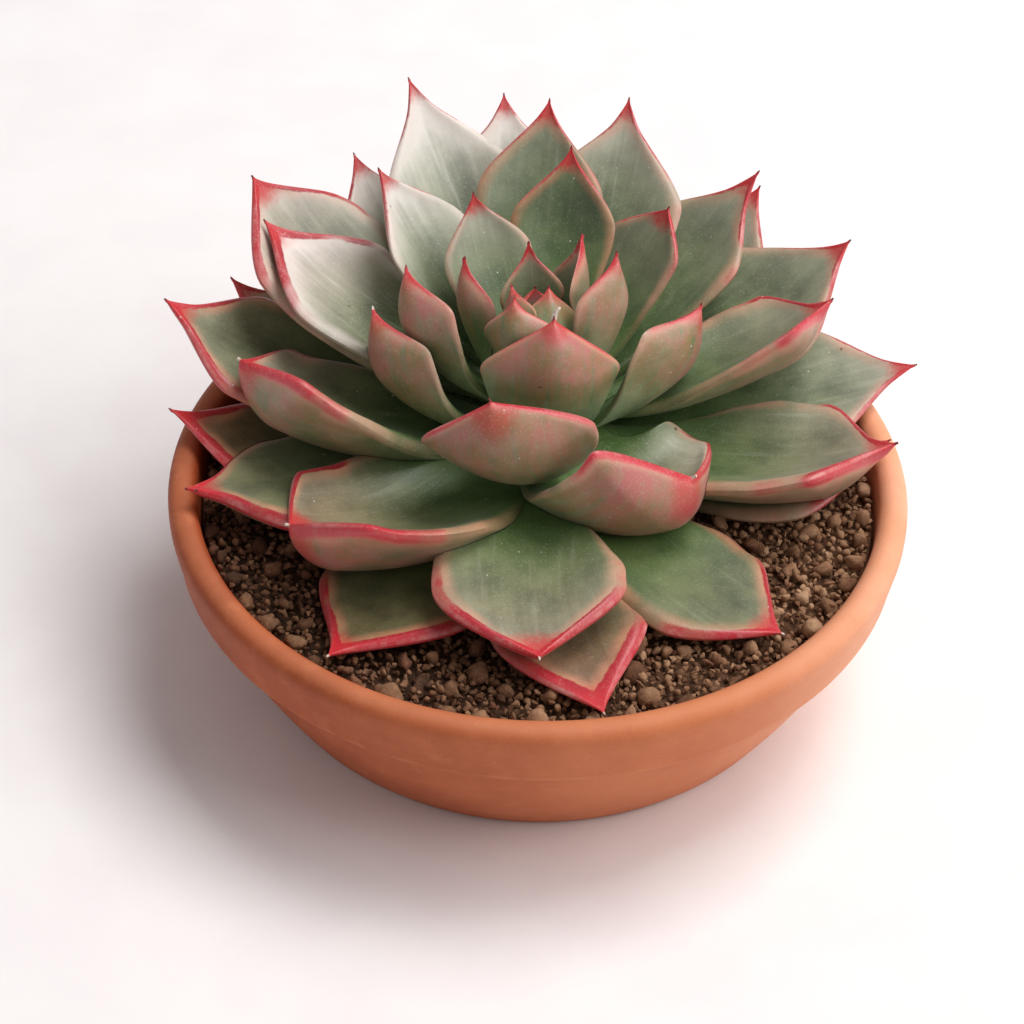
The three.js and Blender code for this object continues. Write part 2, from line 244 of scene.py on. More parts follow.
lens = bpy.data.cameras.new("camera")
lens.sensor_width = 36
lens.lens = lens.sensor_width * FOCAL_PIXELS / FRAME_PIXELS
lens.shift_x = 0.5 - AXIS_X / FRAME_PIXELS
lens.shift_y = AXIS_Y / FRAME_PIXELS - 0.5
camera = show("camera", lens)
back = Vector((0, -math.cos(ELEVATION), math.sin(ELEVATION)))
rise = Vector((0, math.sin(ELEVATION), math.cos(ELEVATION)))
right = Vector((1, 0, 0))
camera_right = right * math.cos(TILT) + rise * math.sin(TILT)
camera_up = rise * math.cos(TILT) - right * math.sin(TILT)
camera.matrix_world = Matrix.Translation(AIM + back * DISTANCE) @ Matrix(
    (camera_right, camera_up, back)
).transposed().to_4x4()
bpy.context.scene.camera = camera
bpy.context.scene.view_settings.view_transform = "Standard"
print("lens", round(lens.lens, 1), "mm, shift", round(lens.shift_x, 4), round(lens.shift_y, 4))


# %% Floor and light
def soft_light(name, azimuth, elevation, distance, size, power, colour):
    """A square soft box that looks at the plant from the given direction, in degrees."""
    light = bpy.data.lights.new(name, "AREA")
    light.size, light.energy, light.color = size, power, colour
    lamp = show(name, light)
    turn, lift = math.radians(azimuth), math.radians(elevation)
    away = Vector((math.cos(turn) * math.cos(lift), math.sin(turn) * math.cos(lift), math.sin(lift)))
    lamp.location = AIM + away * distance
    lamp.rotation_euler = away.to_track_quat("Z", "Y").to_euler()


soft_light("window", 36, 66, 2.2, 1.1, 30, (1.0, 0.99, 0.98))
soft_light("side window", -12, 44, 2.2, 1.5, 24, (1.0, 0.99, 0.98))

world = bpy.data.worlds.new("pale room")
bpy.context.scene.world = world
world.use_nodes = True
glow = world.node_tree.nodes["Background"].inputs
glow["Color"].default_value, glow["Strength"].default_value = (1.0, 0.975, 0.965, 1), 0.34

paper, bench, place = finish_bench("pale paper")
pulp = bench.cloud(place, 0.03, 4.0)
fibre = bench.cloud(place, 0.0016, 3.0)
bench.dress({
    "Base Color": bench.blend("#F3EEEF", "#F6F3F3", pulp.rise(0.3, 0.7)),
    "Roughness": 0.9,
    "Normal": bench.relief(0.12, 0.0003, fibre + 0.5 * pulp),
})

FLOOR_REACH, FLOOR_LEVEL = 4.0, -0.0002
floor_mesh = bpy.data.meshes.new("floor")
corners = [(x * FLOOR_REACH, y * FLOOR_REACH, FLOOR_LEVEL) for x, y in ((-1, -1), (1, -1), (1, 1), (-1, 1))]
floor_mesh.from_pydata(corners, [], [(0, 1, 2, 3)])
floor = show("floor", floor_mesh, paper)
print("floor", 2 * FLOOR_REACH, "m wide")

# %% [markdown]
# ## The terracotta bowl
# On the real bowl a rolled rim sits on an upright band, and the body under it draws in to a small foot.
# Bowls like this are turned on a wheel, so the shape is a profile spun round the axis: the CAD model's
# own profile with the facets rounded out. The wall could be bent from sheets of mesh, but a spin keeps
# its rings as true as the wheel does. Three drainage holes are drilled through the floor afterwards.

# %% The bowl's profile
RIM_RADIUS, BOWL_HEIGHT, BEAD = 90 * MM, 52 * MM, 3.5 * MM
BAND_RADIUS, BAND_FOOT, BAND_EDGE = 88.4 * MM, 36 * MM, 0.8 * MM
BODY_RADIUS, FOOT_RADIUS, BULGE = 86 * MM, 69 * MM, 1 * MM
WALL, FLOOR_THICKNESS = 6.5 * MM, 7 * MM
GAP = 0.3 * MM
ROUND = 192  # facets round the bowl


def between(low, high, share):
    return low + (high - low) * share


def ease(t):
    t = min(max(t, 0.0), 1.0)
    return t * t * (3 - 2 * t)


def arc(centre, height, radius, start, end, steps):
    """Points of a profile round a centre, from one angle to another in degrees."""
    angles = [math.radians(between(start, end, i / steps)) for i in range(steps + 1)]
    return [(centre + radius * math.cos(a), height + radius * math.sin(a)) for a in angles]


def body_radius(height):
    climb = height / BAND_FOOT
    return between(FOOT_RADIUS, BODY_RADIUS, climb) + BULGE * math.sin(math.pi * climb)


INSIDE = [(body_radius(height) - WALL, height) for height in (FLOOR_THICKNESS, 18 * MM, 28 * MM)]
INSIDE.append((RIM_RADIUS - 2 * BEAD - 0.5 * MM, BAND_FOOT + 3 * MM))


def spun(name, profile, facets, centre=lambda height: (0.0, 0.0)):
    """A closed profile of (radius, height) from axis to axis, up the outside, turned round the axis."""
    rows, points = [], []
    for radius, height in profile:
        x, y = centre(height)
        count = facets if radius > 0 else 1
        rows.append(range(len(points), len(points) + count))
        for j in range(count):
            angle = 2 * math.pi * j / facets
            points.append((x + radius * math.cos(angle), y + radius * math.sin(angle), height))
    faces = []
    for low, high in zip(rows, rows[1:]):
        for j in range(facets):
            k = j + 1
            ring = [low[j % len(low)], low[k % len(low)], high[k % len(high)], high[j % len(high)]]
            faces.append(list(dict.fromkeys(ring)))
    mesh = bpy.data.meshes.new(name)
    mesh.from_pydata(points, [], faces)
    mesh.shade_smooth()
    return mesh


def settled(obj):
    """Turns an object with live modifiers into a plain mesh."""
    depsgraph = bpy.context.evaluated_depsgraph_get()
    mesh = bpy.data.meshes.new_from_object(
        obj.evaluated_get(depsgraph), preserve_all_data_layers=True, depsgraph=depsgraph
    )
    obj.modifiers.clear()
    obj.data = mesh
    return obj


def triangles(obj):
    return sum(len(face.vertices) - 2 for face in obj.data.polygons)


def report(obj):
    print(obj.name, "of", triangles(obj), "triangles")


FOOT_EDGE, BAND_FROM, BAND_TOP, BAND_STEPS = 1.2 * MM, BAND_FOOT + 1.4 * MM, 47 * MM, 9
profile = [(0, 0), *arc(FOOT_RADIUS - FOOT_EDGE, FOOT_EDGE, FOOT_EDGE, -90, 0, 5)]
profile += [(body_radius(h * MM), h * MM) for h in range(3, 35)]
profile += [(BODY_RADIUS, BAND_FOOT - 0.4 * MM), (BODY_RADIUS + 0.4 * MM, BAND_FOOT)]
profile += arc(BAND_RADIUS - BAND_EDGE, BAND_FOOT + BAND_EDGE, BAND_EDGE, -90, 0, 6)
climb = [i / BAND_STEPS for i in range(BAND_STEPS + 1)]
profile += [(between(BAND_RADIUS, RIM_RADIUS, t), between(BAND_FROM, BAND_TOP, t)) for t in climb]
profile += arc(RIM_RADIUS - BEAD, BOWL_HEIGHT - BEAD, BEAD, 0, 180, 28)
profile += [*reversed(INSIDE), (0, FLOOR_THICKNESS)]
bowl = show("terracotta_bowl", spun("terracotta_bowl", profile, ROUND))
report(bowl)

# %% Drainage holes
DRAIN_RADIUS, DRAIN_CIRCLE = 4 * MM, 30 * MM
DRILL_FROM, DRILL_TO = -FLOOR_THICKNESS, 2 * FLOOR_THICKNESS
rod = [(0, DRILL_FROM), (DRAIN_RADIUS, DRILL_FROM), (DRAIN_RADIUS, DRILL_TO), (0, DRILL_TO)]
drills = []
for azimuth in (90, 210, 330):
    turn = math.radians(azimuth)
    centre = (DRAIN_CIRCLE * math.cos(turn), DRAIN_CIRCLE * math.sin(turn))
    drill = show("drill", spun("drill", rod, 32, lambda height, c=centre: c))
    cut = bowl.modifiers.new("drill", "BOOLEAN")
    cut.operation, cut.solver, cut.object = "DIFFERENCE", "MANIFOLD", drill
    drills.append(drill)
settled(bowl)
for drill in drills:
    bpy.data.objects.remove(drill)
bowl.data.set_sharp_from_angle(angle=math.radians(40))
report(bowl)

# %% [markdown]
# ## Fired clay
# Terracotta is matt and finely pored. Its colour is painted darker and deeper orange brown on the left, as
# painted shade, and paler on the right, as painted light from the lamps on that side. Over that lie faint
# clouds where the fire and the water went differently, and faint rings from the wheel. The rings come from
# the height alone, so they run round the bowl. The top of the rim and a dashed line at the foot of the band
# are lightened as painted highlights.

# %% Terracotta
terracotta, bench, place = finish_bench("fired clay")
x, y, height = place.parts()
clouds = bench.cloud(place, 0.03, 5.0, 0.6)
blots = bench.cloud(place, 0.006, 4.0, 0.6)
pores = bench.cloud(place, 0.0006, 2.0, 0.7)
grains = bench.cloud(place, 0.00022, 1.0)
rings = bench.cloud(bench.vector(0, 0, height + 0.0006 * clouds), 0.0011, 3.0)
# Painted shade on the left of the bowl and painted light on the right: the clay goes from dark to pale
# across x
painted_shade_clay = bench.blend("#98421F", "#AB4F27", clouds.rise(0.3, 0.7))
fired = bench.blend("#CB7348", "#DA8558", clouds.rise(0.3, 0.7))
painted_light_clay = bench.blend("#EDA47C", "#F7B592", clouds.rise(0.3, 0.7))
clay = bench.blend(bench.blend(painted_shade_clay, fired, x.rise(-0.09, 0.08)), painted_light_clay, x.rise(0.035, 0.09))
clay = bench.blend(clay, "#E08E62", 0.22 * blots.rise(0.45, 0.8))
clay = bench.blend(clay, "#8A4230", 0.35 * pores.rise(0.62, 0.78))
clay = bench.blend(clay, "#EDB49A", 0.4 * grains.rise(0.66, 0.8))
# Painted highlights: the top of the rim all round, and a dashed line at the foot of the band, are lightened
painted_rim_highlight = height.rise(BOWL_HEIGHT - 1.6 * MM, BOWL_HEIGHT - 0.1 * MM) * 0.2
painted_band_highlight = height.rise(BAND_FOOT - 0.2 * MM, BAND_FOOT + 0.5 * MM)
painted_band_highlight = painted_band_highlight * height.rise(BAND_FOOT + 1.6 * MM, BAND_FOOT + 0.8 * MM)
clay = bench.blend(clay, "#E09C74", (painted_rim_highlight + 0.15 * painted_band_highlight * blots.rise(0.3, 0.6)).least(1))
clay = bench.blend(clay, "#944A34", 0.25 * rings.rise(0.6, 0.85))
bench.dress({
    "Base Color": clay,
    "Roughness": bench.between(0.5, 0.68, blots),
    "Specular IOR Level": 0.3,
    "Normal": bench.relief(0.35, 0.0003, 0.6 * pores + 0.35 * grains + 0.9 * rings + 0.6 * blots),
})
bowl.data.materials.clear()
bowl.data.materials.append(terracotta)
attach(bowl, "root")
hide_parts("bowl")
print("bowl fired")

# %% [markdown]
# ## The rule of a leaf
# Every leaf of a rosette is the same thing at another age: a blade that grows out from the stem along a
# bow, holds its width to a shoulder, and closes in to a spine. Its upper face is channelled, its lower
# face is rounded with a soft keel, and its margins are blunt. A leaf could be sculpted by hand, but then
# 46 of them would be 46 jobs, so Geometry Nodes grow all of them by one rule. The rule pulls a sphere
# into shape: its poles become root and tip. It also writes down, for every corner, where on the leaf it
# is, because the colours of a leaf follow its margin and its length.

# %% The leaf tree
MARGIN_DROP = 0.45  # how far the upper face rounds down at the margin, in thicknesses
MARGIN_TIGHTNESS = 10  # how near the margin that rounding keeps
BELLY = 0.6  # how full the lower face is, from 0 for a box to 1 for an ellipse
ROOT_THICKNESS = 0.62  # of the leaf's full thickness
ROOT_ROUNDED = 0.05  # how far along the leaf the rounding of its root reaches,
FULLY_CUPPED = 0.5  # it is cupped and twisted as far as it gets,
FULLY_THICK = 0.35  # it is at its thickest,
FULLY_WIDE = 0.62  # and it is at its widest
SPINE_RADIUS = 0.34 * MM
TIP_SLOPE = 0.75  # how fast the last part narrows, in half widths over the part that closes in
TIP_BLEND = 0.06  # how softly the blade passes into that last part
CLOSING = 1.7  # how roundly a blade closes in where it isn't sharp
TAPER = 0.7  # how long the spine stays thick: 1 for a cone, less for a blunter one
CROWDING = 0.85  # below 1 the mesh has more rows near the tip than near the root
KEEL = 0.16  # how proud the keel stands, of the leaf's thickness
WAVE_LENGTH, WAVE_ACROSS = 0.016, 0.012  # how long the waves of a blade are, and how unlike its two sides
EDGE_WAVE = 0.12  # how far the margin wavers in and out, of the half width
FACE_WAVE = 2.2 * MM  # and how far up and down


def new_tree(name, **inputs):
    """A Geometry Nodes tree, its bench and its named inputs, given as a line of names for each type."""
    tree = bpy.data.node_groups.new(name, "GeometryNodeTree")
    for kind, labels in inputs.items():
        for label in labels.split():
            tree.interface.new_socket(label, in_out="INPUT", socket_type="NodeSocket" + kind)
    tree.interface.new_socket("Geometry", in_out="OUTPUT", socket_type="NodeSocketGeometry")
    bench = Bench(tree)
    source = tree.nodes.new("NodeGroupInput")
    return tree, bench, {socket.name: Wire(bench, socket) for socket in source.outputs}


def end_tree(bench, geometry, material):
    """Every tree ends the same way: real geometry, in its material."""
    real = bench.shape("RealizeInstances", Geometry=geometry)
    painted = bench.shape("SetMaterial", Geometry=real, Material=material)
    bench.tree.links.new(painted.socket, bench.tree.nodes.new("NodeGroupOutput").inputs[0])


def remember(bench, geometry, name, value, data_type="FLOAT_VECTOR", domain="CORNER"):
    """Writes a value to every corner, point or instance under the given name."""
    settings = {"data_type": data_type, "domain": domain}
    return bench.shape("StoreNamedAttribute", settings, Geometry=geometry, Name=name, Value=value)


def leaf_tree(material):
    tree, bench, given = new_tree(
        "leaf",
        Vector="Root Bend Tip Across Traits Ends",
        Float="Width Plump Base Shoulder Sharp Cup Roll Spine Wave",
        Int="Facets",
    )
    root, bend, tip, across = (given[label] for label in ("Root", "Bend", "Tip", "Across"))
    sphere = bench.shape("MeshUVSphere", Segments=given["Facets"], Rings=given["Facets"], Radius=1.0)
    x, y, z = bench.shape("InputPosition").parts()

    # Where on the leaf a point is: s along it, cos across it, sin over or under it
    s = ((1 - z) / 2).most(0).least(1) ** CROWDING
    ring = ((x * x + y * y) ** 0.5).most(1e-6)
    cos, sin = x / ring, -y / ring
    upper, lower = sin.most(0), (-sin).most(0)

    # The bow from root to tip and the three directions along it
    left = 1 - s
    line = root * (left * left) + bend * (2 * left * s) + tip * (s * s)
    tangent = ((bend - root) * left + (tip - bend) * s).unit()
    flat = (across - tangent * across.dot(tangent)).unit()
    cupped = s.rise(0, FULLY_CUPPED)
    roll = given["Roll"] * cupped
    side = flat * roll.cosine() + tangent.cross(flat) * roll.sine()
    normal = tangent.cross(side)

    # The blade closes in short of the tip, and the spine goes on
    length = (tip - root).length()
    spine_from = 1 - given["Spine"] / length
    blade = (s / spine_from).least(1)
    rest = ((blade - given["Shoulder"]) / (1 - given["Shoulder"])).most(0)
    closing = bench.between(1 - rest**CLOSING, 1 - rest.rise(0, 1), given["Sharp"])
    full = closing.soft_most(TIP_SLOPE * (1 - rest), TIP_BLEND).most(0)
    rounding = (1 - (1 - (s / ROOT_ROUNDED).least(1)) ** 2).most(0) ** 0.5
    spine_left = (1 - ((s - spine_from) / (1 - spine_from)).most(0).least(1)).most(0)
    needle = spine_left**TAPER * SPINE_RADIUS * s.rise(0.9, 0.97)

    wave = bench.cloud(line + side * (cos * WAVE_ACROSS), WAVE_LENGTH, 1.0) - 0.5
    widest = given["Width"] / 2 * bench.between(given["Base"], 1, s.rise(0, FULLY_WIDE))
    half = (widest * full * rounding * (1 + EDGE_WAVE * wave * given["Wave"])).most(needle)
    swelling = bench.between(ROOT_THICKNESS, 1, s.rise(0, FULLY_THICK)) * full**0.6
    thick = (given["Width"] * given["Plump"] * swelling * rounding).most(2 * needle)

    # The section: channelled above, rounded below with a soft keel, blunt at the margins
    drop = MARGIN_DROP * cos**MARGIN_TIGHTNESS
    keel = KEEL * s.rise(0.2, 0.7) * abs(cos).rise(0.95, 0)
    under = thick * (1 - drop) * (lower**BELLY + keel * lower)
    lift = given["Cup"] * cupped * half * cos * cos - thick * drop
    ripple = wave * FACE_WAVE * given["Wave"] * cos * cos * full
    grown_to = line + side * (half * cos) + normal * (lift - under + ripple)

    # What the finish needs to know, in millimetres: how far in from the margin a point is, over it or,
    # as a negative number, under it, and how far it is from the tip
    inwards = half * (1 - abs(cos)) / MM
    below = (inwards * inwards + (under / MM) ** 2) ** 0.5
    edge = bench.between(inwards, -below, lower.rise(0, 0.001))
    notes = {
        "blade": bench.vector(half * cos / MM, s, upper - lower),
        "edge": bench.vector(edge, (1 - s) * length / MM, length / MM),
        "traits": given["Traits"],
        "ends": given["Ends"],
    }
    noted = sphere
    for name, value in notes.items():
        noted = remember(bench, noted, name, value)
    shaped = bench.shape("SetPosition", Geometry=noted, Position=grown_to)
    end_tree(bench, bench.shape("SetShadeSmooth", Geometry=shaped), material)
    return tree


def grown(name, tree, sizes):
    """An object that a tree makes from the given named sizes, as a plain mesh."""
    obj = show(name, bpy.data.meshes.new(name))
    growth = obj.modifiers.new("growth", "NODES")
    growth.node_group = tree
    for item in tree.interface.items_tree:
        if item.item_type == "SOCKET" and item.in_out == "INPUT" and item.name in sizes:
            growth[item.identifier] = sizes[item.name]
    return settled(obj)


# %% [markdown]
# ## Leaf skin
# The skin of this echeveria is grey green under a fine pale powder, brighter green near the stem where
# the powder has never formed, and creamy towards the margin. The margin itself is red, most of all
# under its edge and towards the tip. The lower face goes from grey green through olive to a dusky pink.
# Small brown spots, pale specks and faint lines along the leaf break all of it up. Painting 46 leaves
# by hand would be slow and would show, so one material reads what the tree wrote down for each corner.
# Each leaf has traits of its own: blush, powder, fresh green, the dusk under it, and how dried its spine is.


# %% The leaf's skin
def leaf_finish():
    material, bench, place = finish_bench("leaf skin")
    across, s, facing = bench.noted("blade")
    edge, tip, length = bench.noted("edge")
    blush, powder, fresh = bench.noted("traits")
    dried, seed, dusk = bench.noted("ends")

    mottle = bench.cloud(place, 0.011, 3.0, 0.55)
    freckle = bench.cloud(place, 0.0018, 2.0, 0.6)
    grain = bench.cloud(place, 0.0005, 1.0)
    streak = bench.cloud(bench.vector(across, s * length * 0.07, seed * 7), 1.6, 3.0)
    wander = bench.cloud(bench.vector(s * length, across * 0.5, seed * 13), 9.0, 2.0) - 0.5
    ragged = edge + 0.9 * (freckle - 0.5) + 0.5 * (streak - 0.5)
    ripe = s.rise(0.25, 0.85)

    # The upper face: fresh green at the root, powdered farther out, flushed near the tip
    deep = bench.blend("#344A2C", "#5C6D43", mottle.rise(0.3, 0.7))
    green = bench.blend(deep, "#5C8438", fresh * s.rise(0.75, 0.15) * 0.8)
    pale = bench.blend("#A6AE88", "#F0E8E4", powder * s.rise(0.3, 1.0))
    hollow = edge.rise(2.0, 15.0)
    bloom = powder * s.rise(0.2, 0.9) * (1.2 - 0.55 * hollow + 0.9 * (mottle - 0.5) + 0.6 * (streak - 0.5))
    green = bench.blend(green, pale, bloom.most(0).least(1))
    flush = 0.85 * blush**5 * s.rise(0.3, 1.0) * (0.2 + 0.9 * mottle)
    top = bench.blend(green, "#B9685A", flush.least(1) * 0.75)
    veins = streak.rise(0.58, 0.74) * s.rise(0.15, 0.5) * (0.03 + 0.24 * powder * powder)
    top = bench.blend(top, "#DCE0D0", veins)

    # The lower face: grey green at the root, then patches of olive brown, dusky pink towards the tip
    dull = bench.blend("#637A50", "#94A680", mottle.rise(0.3, 0.7))
    olive = s.rise(0.2, 0.6) * dusk * (2.4 * (streak - 0.3))
    dull = bench.blend(dull, "#A67C50", olive.most(0).least(0.6))
    patches = 0.3 + 2.4 * (mottle - 0.4) + 0.8 * (freckle - 0.5)
    pink = (s + 0.6 * wander).rise(0.38, 0.92) * dusk * patches
    bottom = bench.blend(dull, "#C4666C", pink.most(0).least(0.8))
    skin = bench.blend(top, bottom, facing.rise(0.0, -0.12))

    # The margins: a soft peach border, whitish on powdered leaves, with the red band inside it. Its
    # widths go with the size of the leaf and grow from the root to the tip. Along the ridge of the band a
    # pale pink painted highlight is laid on.
    wide = bench.between(0.35, 1, ripe) * (length / 75).least(1)
    red_above = (0.4 + 4.4 * blush * blush + 3.0 * wander * blush) * wide
    red_below = (0.8 + 4.4 * blush + 3.0 * wander) * wide
    peach = bench.blend("#D9906E", "#EADCD5", powder * powder)
    border = edge.rise(red_above + 4.2 * wide, red_above - 0.4)
    border = border * edge.rise(-red_below - 4.0 * wide, -red_below + 0.4)
    border = border * s.rise(0.1, 0.55) * (0.5 + 1.3 * wander + 0.5 * (mottle - 0.5))
    skin = bench.blend(skin, peach, border.most(0).least(1))
    present = (s + 0.5 * wander).rise(0.78 - 0.27 * blush, 0.97 - 0.2 * blush)
    red = ragged.rise(red_above, red_above - 0.8) * edge.rise(-red_below - 0.8, -red_below + 1.6)
    red = red * present * (0.75 + 0.5 * streak)
    inwards = ((ragged + red_below) / (red_above + red_below).most(0.5) + 0.5 * wander).most(0).least(1)
    crimson = bench.ramp(inwards, (0.0, "#DE7C6C"), (0.15, "#D8525A"), (0.45, "#CB3743"), (1.0, "#A41A28"))
    skin = bench.blend(skin, crimson, red.most(0).least(1))
    # Painted highlight: a pale pink shine along the margin's ridge, where the red is
    wear_and_ridge_highlight = edge.rise(-0.6, 0.2) * edge.rise(1.3, 0.4) * (0.15 + 1.6 * wander + 0.8 * (freckle - 0.5))
    skin = bench.blend(skin, "#EDB0A8", (wear_and_ridge_highlight * red).most(0).least(0.7))

    # The tip is capped with red, and ends in its spine
    reach = (3.4 + 0.055 * length).least(7.5) * (0.6 + 0.5 * blush)
    from_tip = (tip * tip + across * across) ** 0.5
    cap = (from_tip + 3 * (freckle - 0.5) + 3 * wander).rise(reach * 1.5, reach * 0.6)
    cap = cap * facing.rise(-2.6, 0.0) * (0.85 + 0.4 * (mottle - 0.5))
    skin = bench.blend(skin, "#C8262F", cap)
    horn = bench.blend("#7A1C1C", "#E4DACC", dried)
    skin = bench.blend(skin, horn, tip.rise(1.0, 0.5))

    # Brown spots, pale specks and faint lines
    spot, chance = bench.cells(place, 210.0)
    brown = (spot + 0.25 * (freckle - 0.5)).rise(0.10, 0.05) * chance[0].rise(0.93, 0.94)
    skin = bench.blend(skin, "#4B2A1C", brown * 0.8)
    mote, chance = bench.cells(place, 420.0)
    dust = mote.rise(0.12, 0.05) * chance[1].rise(0.93, 0.94)
    skin = bench.blend(skin, "#E6E8DE", dust * 0.7)
    skin = bench.blend(skin, "#DDE0D2", 0.16 * grain.rise(0.55, 0.75) * (0.4 + powder))

    bench.dress({
        "Base Color": skin,
        "Roughness": (0.36 + 0.16 * powder + 0.2 * (mottle - 0.5) - 0.05 * red).most(0.25),
        "Specular IOR Level": 0.5,
        "Sheen Weight": 0.06,
        "Sheen Roughness": 0.45,
        "Normal": bench.relief(0.3, 0.0005, 0.5 * streak + 0.3 * freckle + 0.15 * grain),
    })
    return material


leaf_skin = leaf_finish()
leaf_rule = leaf_tree(leaf_skin)
print("leaf rule:", len(leaf_rule.nodes), "nodes; leaf skin:", len(leaf_skin.node_tree.nodes), "nodes")

# %% [markdown]
# ## The rosette
# The table is the CAD model's own. Each row is one leaf: the azimuth of its tip, the tip's reach from
# the middle of the plant and its height, the leaf's width, its traits (blush, powder, fresh green and
# dusk underneath) and what is its own. The first line of a ring holds for all of its leaves.

